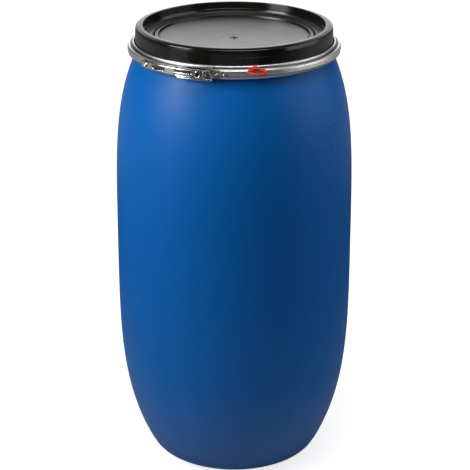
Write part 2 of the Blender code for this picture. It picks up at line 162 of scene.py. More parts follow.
def round_point(radius, azimuth, height):
    turn = math.radians(azimuth)
    return (radius * math.sin(turn), -radius * math.cos(turn), height)


def along_at(azimuth):
    """Distance round the band from the front to an azimuth."""
    return math.radians(azimuth) * BAND_OUTER


def filleted(corners, steps=6):
    """Points of a line in a plane whose inner corners are rounded. A corner is (x, y) or
    (x, y, radius)."""
    points = [tuple(corners[0][:2])]
    for before, corner, after in zip(corners, corners[1:], corners[2:]):
        radius = corner[2] if len(corner) > 2 else 0.0
        here = Vector(corner[:2])
        back = Vector(before[:2]) - here
        ahead = Vector(after[:2]) - here
        turn = math.pi - back.angle(ahead)
        if radius <= 0.0 or turn < 0.01:
            points.append(tuple(here))
            continue
        reach = radius * math.tan(turn / 2)
        reach = min(reach, back.length * 0.49, ahead.length * 0.49)
        start = here + back.normalized() * reach
        end = here + ahead.normalized() * reach
        for step in range(steps + 1):
            share = step / steps
            blend = start.lerp(here, share).lerp(here.lerp(end, share), share)
            points.append(tuple(blend))
    points.append(tuple(corners[-1][:2]))
    return points


def arc_of(centre, radius, start, end, steps):
    points = []
    for step in range(steps + 1):
        turn = math.radians(start + (end - start) * step / steps)
        points.append((centre[0] + radius * math.cos(turn), centre[1] + radius * math.sin(turn)))
    return points


def sheet_outline(line, thickness):
    """Closed outline of a sheet whose middle follows the line, with rounded edges."""
    left = []
    right = []
    for index, point in enumerate(line):
        before = Vector(line[max(index - 1, 0)])
        after = Vector(line[min(index + 1, len(line) - 1)])
        along = (after - before).normalized()
        normal = Vector((-along.y, along.x)) * thickness / 2
        here = Vector(point)
        if index in (0, len(line) - 1):
            outward = along * thickness / 4 * (-1 if index == 0 else 1)
            left.append(tuple(here + normal * 0.6 + outward))
            right.append(tuple(here - normal * 0.6 + outward))
        else:
            left.append(tuple(here + normal))
            right.append(tuple(here - normal))
    return left + right[::-1]


def even_steps(start, end, largest):
    count = max(1, math.ceil(abs(end - start) / largest - 1e-9))
    return [start + (end - start) * step / count for step in range(count + 1)]


def sweep(sections, closed):
    """Vertices and faces that join equal closed outlines, in a ring or with two ends."""
    count = len(sections[0])
    points = [tuple(point) for section in sections for point in section]
    faces = []
    pairs = [(index, index + 1) for index in range(len(sections) - 1)]
    if closed:
        pairs.append((len(sections) - 1, 0))
    for here, there in pairs:
        for side in range(count):
            after = (side + 1) % count
            faces.append((here * count + side, here * count + after,
                          there * count + after, there * count + side))
    if not closed:
        faces.append(tuple(range(count)))
        last = (len(sections) - 1) * count
        faces.append(tuple(range(last + count - 1, last - 1, -1)))
    return points, faces


def clean_mesh(name, points, faces, merge=1e-7):
    """A mesh of the points and faces, with doubled points merged and its faces turned outward.
    A coarser merge also drops slivers."""
    mesh = bpy.data.meshes.new(name)
    mesh.from_pydata(points, [], faces)
    builder = bmesh.new()
    builder.from_mesh(mesh)
    bmesh.ops.remove_doubles(builder, verts=builder.verts, dist=merge)
    if merge > 1e-7:
        bmesh.ops.dissolve_degenerate(builder, edges=builder.edges, dist=1e-7)
    bmesh.ops.recalc_face_normals(builder, faces=builder.faces)
    builder.to_mesh(mesh)
    builder.free()
    return mesh


def new_object(name, data):
    item = bpy.data.objects.new(name, data)
    bpy.context.scene.collection.objects.link(item)
    return item


def add_piece(name, solid, body, slot, replaced=(), sharp=40.0, look=None):
    """Make a mesh piece of a (points, faces) solid."""
    return add_mesh(name, clean_mesh(name, *solid, merge=1e-6), body, slot, replaced, sharp, look)


def add_mesh(name, mesh, body, slot, replaced=(), sharp=40.0, look=None):
    """Give a mesh the material of its slot, or another look, and hang it on its body."""
    mesh.materials.clear()
    mesh.materials.append(MATERIALS[look or slot])
    mesh.shade_smooth()
    mesh.set_sharp_from_angle(angle=math.radians(sharp))
    item = new_object(name, mesh)
    if body:
        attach(item, body)
    if replaced:
        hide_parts(*replaced)
    return item


def turned(outline, azimuths, closed=True):
    """A closed outline of (radius, height) points turned round the axis."""
    return sweep([[round_point(radius, azimuth, height) for radius, height in outline]
                  for azimuth in azimuths], closed)


def ring_azimuths(sides=FINE_SIDES):
    return [360.0 * side / sides for side in range(sides)]


def cut(mesh, cutters):
    """The mesh with each (points, faces) solid taken out of it."""
    return combined(mesh, cutters, "DIFFERENCE")


def combined(mesh, others, operation):
    item = new_object("work", mesh)
    helpers = []
    for points, faces in others:
        helper = new_object("work_other", clean_mesh("work_other", points, faces))
        step = item.modifiers.new("step", "BOOLEAN")
        step.operation = operation
        step.solver = "EXACT"
        step.object = helper
        helpers.append(helper)
    bpy.context.view_layer.update()
    graph = bpy.context.evaluated_depsgraph_get()
    result = bpy.data.meshes.new_from_object(item.evaluated_get(graph))
    for helper in helpers:
        bpy.data.objects.remove(helper, do_unlink=True)
    bpy.data.objects.remove(item, do_unlink=True)
    return result


def solid_mesh(solid):
    return clean_mesh("solid", *solid)


def tube(route, radius, sides=16, closed=False, ends=True):
    """A round tube along points, its section kept from twisting."""
    path = [Vector(point) for point in route]
    count = len(path)
    sections = []
    side = None
    for index in range(count):
        if closed:
            along = (path[(index + 1) % count] - path[index - 1]).normalized()
        else:
            along = (path[min(index + 1, count - 1)] - path[max(index - 1, 0)]).normalized()
        if side is None:
            side = along.orthogonal().normalized()
        side = (side - along * side.dot(along)).normalized()
        other = along.cross(side)
        section = []
        for corner in range(sides):
            turn = 2 * math.pi * corner / sides
            section.append(path[index] + side * radius * math.cos(turn) + other * radius * math.sin(turn))
        sections.append(section)
    if ends and not closed:
        sections = rounded_ends(sections)
    return sweep(sections, closed)


def rounded_ends(sections):
    """Add two shrinking rings at each end of a tube, so its ends are round."""
    def cap(section, inner):
        middle = sum((Vector(point) for point in section), Vector()) / len(section)
        step = middle - sum((Vector(point) for point in inner), Vector()) / len(inner)
        outward = step.normalized()
        size = (Vector(section[0]) - middle).length
        rings = []
        for share in (0.45, 0.8):
            lift = outward * size * 0.5 * (1 - (1 - share) ** 2) ** 0.5
            shrink = (1 - share ** 2) ** 0.5
            rings.append([middle + (Vector(point) - middle) * shrink + lift for point in section])
        return rings
    first = cap(sections[0], sections[1])
    last = cap(sections[-1], sections[-2])
    return first[::-1] + sections + last


def rod_points(centre, axis, radius, length):
    middle = Vector(centre)
    along = Vector(axis).normalized() * length / 2
    return tube([middle - along, middle + along], radius, ROD_SIDES, ends=False)


# Materials

class Nodes:
    """Short names for building the node tree of a material, or of the world."""

    def __init__(self, name, owner=None):
        self.owner = owner or bpy.data.materials.new(name)
        self.owner.use_nodes = True
        self.tree = self.owner.node_tree

    def put(self, socket, value):
        if isinstance(value, bpy.types.NodeSocket):
            self.tree.links.new(value, socket)
        else:
            socket.default_value = value

    def node(self, kind, inputs=(), output=0, **settings):
        item = self.tree.nodes.new("ShaderNode" + kind)
        for name, value in settings.items():
            setattr(item, name, value)
        for key, value in dict(inputs).items():
            self.put(item.inputs[key], value)
        return item.outputs[output]

    def math(self, operation, first, *others):
        """The first value joined with each of the others in turn."""
        result = first
        for value in others:
            result = self.node("Math", {0: result, 1: value}, operation=operation)
        return result

    def times(self, *values):
        return self.math("MULTIPLY", *values)

    def plus(self, *values):
        return self.math("ADD", *values)

    def most(self, *values):
        return self.math("MAXIMUM", *values)

    def size(self, value):
        return self.math("ABSOLUTE", value, 0.0)

    def away(self, value, centre):
        return self.size(self.math("SUBTRACT", value, centre))

    def mix(self, share, first, second):
        return self.node("Mix", {0: share, 6: first, 7: second}, output=2, data_type="RGBA")

    def ramp(self, value, low, high, start=0.0, end=1.0, **settings):
        return self.node("MapRange", {0: value, 1: low, 2: high, 3: start, 4: end}, **settings)

    def noise(self, vector, scale, detail=3.0, rough=0.5):
        return self.node("TexNoise", {"Vector": vector, "Scale": scale, "Detail": detail,
                                      "Roughness": rough})

    def split(self, vector):
        return [self.node("SeparateXYZ", {0: vector}, output=axis) for axis in range(3)]

    def stretched(self, x, y, z):
        return self.node("CombineXYZ", {0: x, 1: y, 2: z})

    def place(self):
        return self.node("TexCoord", output=3)

    def round_space(self):
        """Coordinates along the drum's circumference, out from its axis and up."""
        place = self.place()
        x, y, up = self.split(place)
        along = self.times(self.math("ARCTAN2", x, self.times(y, -1.0)), BAND_OUTER)
        radius = self.node("VectorMath", {0: self.stretched(x, y, 0.0)}, output=1, operation="LENGTH")
        return place, along, radius, up

    def bump(self, height, distance, strength, normal=None):
        inputs = {"Strength": strength, "Distance": distance, "Height": height}
        if normal:
            inputs["Normal"] = normal
        return self.node("Bump", inputs)

    def finish(self, **inputs):
        shader = self.tree.nodes["Principled BSDF"]
        for key, value in inputs.items():
            self.put(shader.inputs[key.replace("_", " ")], value)
        return self.owner


def scratch(nodes, along, up, azimuth, height, tilt, length, width, bow):
    """How deep a curved scratch is at a place on the wall or the lid's skirt, 0 to 1."""
    across = nodes.math("SUBTRACT", along, along_at(azimuth))
    rise = nodes.math("SUBTRACT", up, height)
    cosine = math.cos(math.radians(tilt))
    sine = math.sin(math.radians(tilt))
    run = nodes.plus(nodes.times(across, cosine), nodes.times(rise, sine))
    off = nodes.math("SUBTRACT", nodes.times(rise, cosine), nodes.times(across, sine))
    near = nodes.ramp(nodes.away(off, nodes.times(run, run, bow)), 0.0, width, 1.0, 0.0)
    within = nodes.ramp(nodes.size(run), length * 0.35, length * 0.5, 1.0, 0.0)
    return nodes.times(near, within)


# Scratches in the wall: azimuth, height, tilt, length, width and bow
WALL_SCRATCHES = (
    (57.0, 0.190, 12.0, 0.095, 0.0012, 2.6), (-41.0, 0.292, 48.0, 0.050, 0.0010, 4.0),
    (50.0, 0.222, 20.0, 0.070, 0.0004, 1.0), (70.0, 0.640, -60.0, 0.060, 0.0004, 2.0),
    (150.0, 0.420, 30.0, 0.110, 0.0005, 1.5), (-120.0, 0.330, -25.0, 0.090, 0.0005, -2.0),
    (-160.0, 0.600, 70.0, 0.070, 0.0004, 1.0))


def drum_plastic(name, painted_shade_depth):
    """Blue polyethylene. The second argument, 0 to 1, is how much darker all of it is painted, as painted
    shade.
    """
    nodes = Nodes(name)
    place, along, _, up = nodes.round_space()
    cloud = nodes.noise(place, 3.0, 3.0)
    pebble = nodes.noise(place, 420.0, 2.0, 0.6)
    haze = nodes.noise(place, 38.0, 4.0, 0.6)
    rub = nodes.stretched(nodes.times(along, 6.0), 0.0, nodes.times(up, 160.0))
    scuff = nodes.ramp(nodes.noise(rub, 1.0, 6.0, 0.7), 0.66, 0.74)
    patch = nodes.ramp(nodes.noise(place, 7.0, 2.0), 0.55, 0.70)
    scuffed = nodes.times(scuff, patch, 0.5)
    marks = nodes.most(*(scratch(nodes, along, up, *spec) for spec in WALL_SCRATCHES))
    base = nodes.mix(cloud, (0.0, 0.126, 0.475, 1), (0.0, 0.139, 0.505, 1))
    # Greyer towards the foot, in patches.
    foot_greying = nodes.times(nodes.ramp(up, 0.22, 0.02, 0.0, 0.36), nodes.ramp(haze, 0.2, 0.6, 0.7, 1.0))
    foot_greyed = nodes.mix(foot_greying, base, (0.12, 0.14, 0.18, 1))
    pale = nodes.mix(scuffed, foot_greyed, (0.030, 0.160, 0.480, 1))
    # Scratches are real wear; the second argument adds painted shade that darkens all of it.
    wear_and_painted_shade = nodes.most(nodes.times(marks, 0.9), painted_shade_depth)
    colour = nodes.mix(wear_and_painted_shade, pale, (0.001, 0.050, 0.220, 1))
    roughness = nodes.plus(nodes.ramp(haze, 0.25, 0.75, 0.40, 0.47), nodes.times(scuffed, 0.2))
    normal = nodes.bump(pebble, 0.00018, 0.30, nodes.bump(marks, -0.0003, 0.6))
    return nodes.finish(Base_Color=colour, Roughness=roughness, Normal=normal, IOR=1.48,
                        Specular_IOR_Level=0.23)


def lid_plastic():
    """Black polyethylene, dull in the recess. The ledge is painted paler at its left and right, a painted
    reflection, and the channel inside the ledge is painted black, painted shade; fine dust specks lie all
    over.
    """
    nodes = Nodes("lid_plastic")
    place, along, radius, up = nodes.round_space()
    grain = nodes.noise(place, 520.0, 2.0, 0.6)
    smear = nodes.noise(place, 14.0, 4.0, 0.6)
    flow = nodes.stretched(nodes.times(along, 14.0), nodes.times(radius, 260.0), nodes.times(up, 260.0))
    swirl = nodes.noise(flow, 1.0, 3.0, 0.6)
    dust = nodes.ramp(nodes.noise(place, 160.0, 3.0, 0.7), 0.62, 0.80, 0.0, 0.35)
    base = nodes.mix(smear, (0.0050, 0.0050, 0.0040, 1), (0.0085, 0.0085, 0.0070, 1))
    aside = nodes.away(nodes.size(along), along_at(90.0))
    sunk = nodes.ramp(radius, LEDGE_OUTER - 0.0005, LEDGE_OUTER + 0.0017, 1.0, 0.0)
    ledge = nodes.times(sunk, nodes.ramp(radius, LEDGE_INNER - 0.0012, LEDGE_INNER - 0.0004))
    shaded_channel = nodes.times(nodes.ramp(radius, RIDGE_OUTER + 0.0005, RIDGE_OUTER + 0.0013),
                          nodes.ramp(radius, LEDGE_INNER - 0.0008, LEDGE_INNER - 0.0003, 1.0, 0.0))
    # Painted reflection: the ledge painted paler at its left and right, where it faces the backdrop.
    ledge_sheen = nodes.times(ledge, nodes.ramp(aside, 0.05, 0.17, 0.9, 0.1))
    colour = nodes.mix(nodes.most(ledge_sheen, nodes.times(dust, 0.3)), base, (0.060, 0.060, 0.055, 1))
    # Painted shade: the channel between the ridge and the ledge painted black.
    colour = nodes.mix(shaded_channel, colour, (0.001, 0.001, 0.001, 1))
    broken = nodes.ramp(nodes.noise(place, 260.0, 2.0), 0.40, 0.55)
    scuff = nodes.times(scratch(nodes, along, up, 10.8, 0.9385, 0.6, 0.085, 0.0011, 0.3), broken,
                        nodes.ramp(radius, 0.1990, 0.2000))
    colour = nodes.mix(scuff, colour, (0.075, 0.075, 0.070, 1))
    handled = nodes.times(nodes.ramp(radius, RIM_INNER + 0.0001, RIM_INNER + 0.0011),
                          nodes.ramp(aside, 0.08, 0.20, 0.20, 0.0))
    roughness = nodes.plus(nodes.ramp(smear, 0.3, 0.7, 0.13, 0.17), nodes.times(sunk, 0.17),
                           nodes.times(ledge, nodes.ramp(aside, 0.06, 0.16, 0.0, 0.2)),
                           nodes.times(shaded_channel, 0.50), handled, nodes.times(dust, 0.1))
    normal = nodes.bump(grain, 0.00012, 0.30, nodes.bump(swirl, 0.00010, 0.25))
    return nodes.finish(Base_Color=colour, Roughness=roughness, Normal=normal, IOR=1.52)


def gasket_rubber():
    nodes = Nodes("gasket_rubber")
    cells = nodes.noise(nodes.place(), 700.0, 3.0, 0.7)
    colour = nodes.mix(cells, (0.045, 0.045, 0.045, 1), (0.075, 0.075, 0.075, 1))
    return nodes.finish(Base_Color=colour, Roughness=0.85, Normal=nodes.bump(cells, 0.0003, 0.5))


def band_painted_shade(nodes, along, radius, up):
    """How far the band is inside its groove or behind the pivot, 0 to 1, where it is painted dark as painted
    shade.
    """
    inside = nodes.times(nodes.ramp(radius, 0.2166, 0.2158), nodes.ramp(up, 0.9212, 0.9196),
                         nodes.ramp(up, 0.9100, 0.9120))
    away = nodes.away(along, along_at(PIVOT_AZIMUTH + 1.3))
    behind = nodes.times(nodes.ramp(away, 0.0100, 0.0085), nodes.ramp(up, 0.9085, 0.9065))
    return nodes.most(inside, behind)


def closure_painted_shade(nodes, along, radius, up):
    """How far the closure lies behind the lever's face, in its slot, ribs and hole, 0 to 1, where it is
    painted dark as painted shade.
    """
    shallow = nodes.ramp(radius, LEVER_OUTER - 0.0002, LEVER_OUTER - 0.0008)
    deep = nodes.ramp(radius, LEVER_OUTER - 0.0009, LEVER_OUTER - 0.0016)
    ribbed = nodes.ramp(along, along_at(LEVER_RIB[1] + 0.7), along_at(LEVER_RIB[1] - 0.1))
    middle = nodes.ramp(nodes.away(up, BAND_MIDDLE), LEVER_HALF_HEIGHT - 0.0005, LEVER_HALF_HEIGHT - 0.0011)
    left = nodes.ramp(along, along_at(LEVER_WEB_END + 0.6), along_at(LEVER_WEB_END - 0.2))
    return nodes.times(nodes.most(nodes.times(shallow, ribbed), deep), middle, left)


def wire_painted_shade(nodes, _along, _radius, up):
    """How far round to the upper side the bail's wire is, 0 to 1: its top is painted dark as painted shade,
    which dims its highlight.
    """
    return nodes.ramp(up, BAND_MIDDLE, BAND_MIDDLE + 0.0040)


def zinc(name, bright, dark, smooth, rough, lines, painted_shade):
    """Zinc-plated steel: fine rolling lines round the drum, faint crystals, dull smears. The last argument
    says where it is painted dark, as painted shade.
    """
    nodes = Nodes(name)
    place, along, radius, up = nodes.round_space()
    grain = nodes.stretched(nodes.times(along, 10.0), nodes.times(radius, 1500.0), nodes.times(up, 1500.0))
    rolled = nodes.noise(grain, 1.0, 4.0, 0.65)
    crystals = nodes.node("TexVoronoi", {"Vector": place, "Scale": 260.0}, output=1)
    crystal = nodes.node("SeparateColor", {0: crystals})
    smear = nodes.noise(place, 55.0, 4.0, 0.6)
    share = nodes.plus(nodes.times(smear, 0.6), nodes.times(crystal, 0.25), nodes.times(rolled, 0.25))
    plated = nodes.mix(nodes.ramp(share, 0.35, 0.75), dark, bright)
    # Painted shade: the mask darkens the plating to a near-black grey.
    painted_shade_share = nodes.times(painted_shade(nodes, along, radius, up), 0.80)
    colour = nodes.mix(painted_shade_share, plated, (0.045, 0.047, 0.045, 1))
    roughness = nodes.ramp(share, 0.35, 0.75, rough, smooth)
    normal = nodes.bump(smear, 0.0003, 0.05, nodes.bump(rolled, 0.00005, lines))
    return nodes.finish(Base_Color=colour, Roughness=roughness, Metallic=1.0, Normal=normal)


def seal_plastic():
    nodes = Nodes("seal_plastic")
    place = nodes.place()
    cloud = nodes.noise(place, 90.0, 3.0)
    grain = nodes.noise(place, 900.0, 2.0)
    colour = nodes.mix(cloud, (0.660, 0.012, 0.004, 1), (0.800, 0.022, 0.008, 1))
    roughness = nodes.ramp(cloud, 0.3, 0.7, 0.28, 0.38)
    return nodes.finish(Base_Color=colour, Roughness=roughness, Normal=nodes.bump(grain, 0.0001, 0.3),
                        Subsurface_Weight=0.15, Subsurface_Radius=(0.004, 0.001, 0.0005))


ROLLED_ZINC = ((0.86, 0.86, 0.845, 1), (0.70, 0.70, 0.685, 1), 0.34, 0.44, 0.4)
BRIGHT_ZINC = ((0.86, 0.86, 0.84, 1), (0.68, 0.68, 0.66, 1), 0.14, 0.22, 0.1)
MATERIALS = {
    "drum_plastic": drum_plastic("drum_plastic", 0.0),
    # The mould dials get a copy of the blue painted darker, as painted shade.
    "mould_marks": drum_plastic("drum_plastic_shaded_marks", 0.55),
    "lid_plastic": lid_plastic(),
    "gasket": gasket_rubber(),
    "band_steel": zinc("band_zinc", *ROLLED_ZINC, band_painted_shade),
    "closure_steel": zinc("closure_zinc", *BRIGHT_ZINC, closure_painted_shade),
    "wire_steel": zinc("wire_zinc", *BRIGHT_ZINC, wire_painted_shade),
    "seal_plastic": seal_plastic(),
}


# Drum body

def wall_radius(height):
    if height < BELLY_HEIGHT:
        share = (BELLY_HEIGHT - height) / BELLY_HEIGHT
        return BELLY_RADIUS - FOOT_DROP * share ** FOOT_POWER
    share = (height - BELLY_HEIGHT) / (SHOULDER_HEIGHT - BELLY_HEIGHT)
    return BELLY_RADIUS - SHOULDER_DROP * share ** SHOULDER_POWER


def drum_outline():
    """Outer skin from the middle of the base up to the mouth, then back down inside."""
    push_edge = BASE_RADIUS - 0.030
    corner_centre = (BASE_RADIUS, BASE_CORNER)
    base = filleted([(0.0, BASE_PUSH_UP), (0.035, BASE_PUSH_UP), (RECESS_RADIUS, BASE_PUSH_UP, 0.010),
                     (push_edge, 0.0, 0.006), (BASE_RADIUS, 0.0)])
    corner = arc_of(corner_centre, BASE_CORNER, -90, -90 + BASE_CORNER_SWEEP, 14)
    corner_top = corner[-1][1]
    wall_low = corner_top + 0.004
    heights = even_steps(wall_low, SHOULDER_HEIGHT - 0.004, 0.011)
    wall = [(wall_radius(height), height) for height in heights]
    last = wall[-1]
    neck = filleted([last, (wall_radius(SHOULDER_HEIGHT) - 0.0006, SHOULDER_HEIGHT, 0.002),
                     (COLLAR_RADIUS - 0.0016, COLLAR_LOW - 0.0006, 0.0010),
                     (COLLAR_RADIUS, COLLAR_LOW + 0.0010, 0.0012),
                     (COLLAR_RADIUS, COLLAR_HIGH, 0.0014), (NECK_RADIUS, COLLAR_HIGH + 0.0008, 0.0020),
                     (NECK_RADIUS, MOUTH_HEIGHT, 0.0016), (MOUTH_RADIUS, MOUTH_HEIGHT, 0.0016),
                     (MOUTH_RADIUS, SHOULDER_HEIGHT + WALL)], steps=5)[1:]
    inner_heights = even_steps(SHOULDER_HEIGHT - 0.010, wall_low, 0.030)
    inner = [(wall_radius(height) - WALL, height) for height in inner_heights]
    inner_corner = arc_of(corner_centre, BASE_CORNER - WALL, -90 + BASE_CORNER_SWEEP, -90, 8)
    inner_base = [(push_edge, WALL), (RECESS_RADIUS, BASE_PUSH_UP + WALL), (0.0, BASE_PUSH_UP + WALL)]
    seamed = [1.0 if radius < RECESS_RADIUS - 0.006 else 0.0 for radius, _ in base]
    seamed += [min(1.0, index / 6) for index in range(len(corner))] + [1.0] * (len(wall) - 1) + [0.5]
    outline = base + corner + wall + neck + inner + inner_corner + inner_base
    seamed += [0.0] * (len(outline) - len(seamed))
    return outline, seamed


def outline_normals(outline):
    normals = []
    for index in range(len(outline)):
        before = Vector(outline[max(index - 1, 0)])
        after = Vector(outline[min(index + 1, len(outline) - 1)])
        along = after - before
        along = along.normalized() if along.length > 1e-9 else Vector((1.0, 0.0))
        normals.append((along.y, -along.x))
    return normals


def make_drum():
    outline, seamed = drum_outline()
    normals = outline_normals(outline)
    azimuths = set(ring_azimuths())
    for side in (90.0, 270.0):
        azimuths.update(side + step for step in (-0.6, -0.4, -0.25, -0.12, 0.12, 0.25, 0.4, 0.6))
    sections = []
    for azimuth in sorted(azimuths):
        section = []
        for (radius, height), normal, share in zip(outline, normals, seamed):
            off_seam = abs(radius * math.cos(math.radians(azimuth)))
            rise = share * SEAM_HEIGHT * math.exp(-(off_seam / SEAM_WIDTH) ** 2)
            section.append(round_point(max(radius + normal[0] * rise, 0.0), azimuth,
                                       height + normal[1] * rise))
        sections.append(section)
    add_piece("drum_shell", sweep(sections, closed=True), "drum", "drum_plastic", ("drum_body",), sharp=50)


def low_dome(centre, outward, radius, rise, stretch=None):
    """Points and faces of a low raised dot whose base is sunk into the wall."""
    middle = Vector(centre)
    normal = Vector(outward).normalized()
    side = stretch.normalized() if stretch else normal.orthogonal().normalized()
    other = normal.cross(side)
    reach = stretch.length if stretch else radius
    rings = []
    for share, lift in ((1.0, -0.6), (1.0, 0.0), (0.8, 0.7), (0.45, 1.0)):
        ring = []
        for turn in (math.radians(step) for step in range(0, 360, 30)):
            ring.append(middle + side * reach * share * math.cos(turn)
                        + other * radius * share * math.sin(turn) + normal * rise * lift)
        rings.append(ring)
    return sweep(rings, closed=False)


def gathered(shapes):
    """Several (points, faces) solids as one list of points and faces."""
    points = []
    faces = []
    for more_points, more_faces in shapes:
        start = len(points)
        points += more_points
        faces += [tuple(start + index for index in face) for face in more_faces]
    return points, faces


def wall_normal(azimuth, height):
    slope = (wall_radius(height + 0.001) - wall_radius(height - 0.001)) / 0.002
    outward = Vector(round_point(1.0, azimuth, 0.0))
    return (outward - Vector((0, 0, slope))).normalized()


def make_mould_marks():
    """Two plain mould dials, painted darker than the wall as painted shade, and a short row of plain raised
    dashes under the band.
    """
    for number, (azimuth, height) in enumerate(MOULD_DIALS, start=1):
        around = wall_radius(height)
        shapes = []
        for dot in range(12):
            turn = 2 * math.pi * dot / 12
            dot_azimuth = azimuth + math.degrees(MOULD_DIAL_RADIUS * math.sin(turn) / around)
            dot_height = height + MOULD_DIAL_RADIUS * math.cos(turn)
            place = round_point(wall_radius(dot_height), dot_azimuth, dot_height)
            shapes.append(low_dome(place, wall_normal(dot_azimuth, dot_height), 0.0019, 0.0005))
        upright = Vector((0, 0, 1))
        place = round_point(around, azimuth, height)
        shapes.append(low_dome(place, wall_normal(azimuth, height), 0.0016, 0.0005,
                               stretch=upright * 0.0085))
        add_piece(f"mould_dial_{number}", gathered(shapes), "drum", "drum_plastic", look="mould_marks")
    shapes = []
    for azimuth in even_steps(-31.0, -15.0, 1.6):
        height = 0.8835 - 0.0012 * (azimuth + 23.0) / 8.0
        place = round_point(wall_radius(height), azimuth, height)
        sideways = Vector(round_point(1.0, azimuth + 90.0, 0.0))
        shapes.append(low_dome(place, wall_normal(azimuth, height), 0.0007, 0.00025,
                               stretch=sideways * 0.0022))
    add_piece("mould_dashes", gathered(shapes), "drum", "drum_plastic")


# Lid and gasket

def lid_outline():
    """Outline of the lid from the gate mark in its middle, out over the rim and back inside."""
    middle = PANEL_EDGE - PANEL_DISH
    dish = []
    for share in even_steps(0.0, 1.0, 0.04):
        radius = PANEL_RADIUS * share
        height = PANEL_EDGE - PANEL_DISH * (1 - share ** 2)
        height += 0.0004 * math.exp(-((radius - 0.036) / 0.004) ** 2)
        dish.append((radius, height))
    gate = filleted([(0.0, middle + 0.0010), (0.0016, middle + 0.0010, 0.0006),
                     (0.0022, middle - 0.0010, 0.0005), (0.0066, middle - 0.0010, 0.0012),
                     (0.0090, middle + 0.0002)], steps=4)
    dish = [point for point in dish if point[0] > 0.0100]
    rings = filleted([dish[-1], (PANEL_RADIUS + 0.0002, PANEL_EDGE, 0.0004),
                      (PANEL_RADIUS + 0.0010, GROOVE, 0.0006), (0.1566, GROOVE, 0.0008),
                      (RIDGE_INNER, RIDGE_TOP, 0.0010), (RIDGE_OUTER, RIDGE_TOP, 0.0010),
                      (0.1658, GROOVE, 0.0008), (0.1678, GROOVE, 0.0008),
                      (LEDGE_INNER, LEDGE, 0.0007), (LEDGE_OUTER, LEDGE, 0.0024),
                      (0.1867, 0.9404, 0.0006), (0.1871, 0.9413, 0.0006),
                      (RIM_INNER - 0.0002, 0.9417, 0.0005), (RIM_INNER, 0.9440)], steps=5)
    rim = filleted([(RIM_INNER, 0.9440), (RIM_INNER, RIM_PEAK, 0.0020),
                    (RIM_INNER + 0.0075, 0.9557, 0.0100), (RIM_OUTER - 0.0008, 0.9532, 0.0026),
                    (RIM_OUTER + 0.0002, 0.9460, 0.0060), (0.2052, 0.9330)], steps=8)[1:-1]
    skirt = filleted([rim[-1], (0.2052, 0.9330), (0.2055, 0.9250), (0.2061, LID_FLANGE_HIGH, 0.0022),
                      (LID_FLANGE_RADIUS, LID_FLANGE_HIGH, 0.0008),
                      (LID_FLANGE_RADIUS, 0.9090, 0.0008), (0.2026, 0.9088, 0.0006),
                      (0.2021, 0.9180), (0.2018, LID_TOP - 0.0065, 0.0020),
                      (0.1996, LID_TOP - LID_SHEET, 0.0010), (0.1934, LID_TOP - LID_SHEET, 0.0010),
                      (0.1915, LID_TOP - 0.0065, 0.0020), (0.1908, PANEL_EDGE - 0.0040, 0.0015),
                      (0.1885, PANEL_EDGE - 0.0055, 0.0015), (0.1500, PANEL_EDGE - 0.0055, 0.0100),
                      (0.0, middle - LID_SHEET)], steps=4)
    return gate + dish[:-1] + rings + rim + skirt[1:]


def make_lid():
    add_piece("lid_moulding", turned(lid_outline(), ring_azimuths()), "lid", "lid_plastic", ("drum_lid",),
              sharp=50)


def make_gasket():
    low = MOUTH_HEIGHT + 0.0004
    high = LID_TOP - LID_SHEET - 0.0004
    knee = low + (high - low) * 0.6
    outline = filleted([(0.1967, low), (0.2005, low, 0.0008), (0.2005, knee, 0.0015), (0.1989, high, 0.0015),
                        (0.1945, high, 0.0015), (0.1930, knee, 0.0015), (0.1930, low, 0.0008),
                        (0.1967, low)], steps=4)[:-1]
    add_piece("gasket_ring", turned(outline, ring_azimuths(192)), "lid", "gasket", ("lid_gasket",))


# Clamp band

def band_line():
    """Middle line of the band's rolled section, from the lower lip to the top bead."""
    web = BAND_OUTER - BAND_SHEET / 2
    return filleted([(0.2085, 0.8978), (0.2094, 0.8971, 0.0010), (0.2168, 0.8988, 0.0040),
                     (web - 0.0006, 0.9024, 0.0040), (web, 0.9076, 0.0010), (web - 0.0003, 0.9082, 0.0010),
                     (web - 0.0003, 0.9098, 0.0010), (web, 0.9104, 0.0010),
                     (web - 0.0008, 0.9163, 0.0022), (0.2168, 0.9173, 0.0022),
                     (0.2142, 0.9150, 0.0022), (0.2116, 0.9178, 0.0020), (0.2107, 0.9226, 0.0016),
                     (0.2082, 0.9230, 0.0010), (0.2079, 0.9208)], steps=5)


def radial_cutter(azimuth, radius, middle=BAND_OUTER):
    centre = round_point(middle, azimuth, BAND_MIDDLE)
    return rod_points(centre, round_point(1.0, azimuth, 0.0), radius, 0.012)


def rivet_bores(azimuths):
    return [radial_cutter(azimuth, RIVET_BORE) for azimuth in azimuths]


def upright_cutter(place, azimuth, radius, height=BAND_MIDDLE, length=0.05):
    return rod_points(round_point(place, azimuth, height), (0, 0, 1), radius, length)


def make_band_half(name, node, start, end, holes):
    strip = turned(sheet_outline(band_line(), BAND_SHEET), even_steps(start, end, 1.0), closed=False)
    item = add_mesh(name, cut(solid_mesh(strip), holes), None, "band_steel", (node,), sharp=50)
    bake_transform(item)


def make_band():
    half_gap = BAND_SPLIT_GAP / 2
    seal_bore = upright_cutter(SEAL_SHANK_PLACE, SEAL_AZIMUTH, SEAL_BORE, 0.917, 0.010)
    make_band_half("band_strip_left", "clamp_band_left", -180.0 + half_gap,
                   BAND_SPLIT - half_gap, rivet_bores(HINGE_RIVETS))
    make_band_half("band_strip_right", "clamp_band_right", BAND_SPLIT + half_gap,
                   180.0 - half_gap, rivet_bores(CATCH_RIVETS) + [seal_bore])


# Lever closure

def smooth(value, low, high):
    share = min(max((value - low) / (high - low), 0.0), 1.0)
    return share * share * (3 - 2 * share)


def oval(across, up, half_length, half_height, edge):
    """1 inside an oval slot shape, 0 outside, with a soft edge."""
    straight = max(abs(across) - (half_length - half_height), 0.0)
    distance = math.hypot(straight, up) - half_height
    return 1.0 - smooth(distance, -edge, edge)


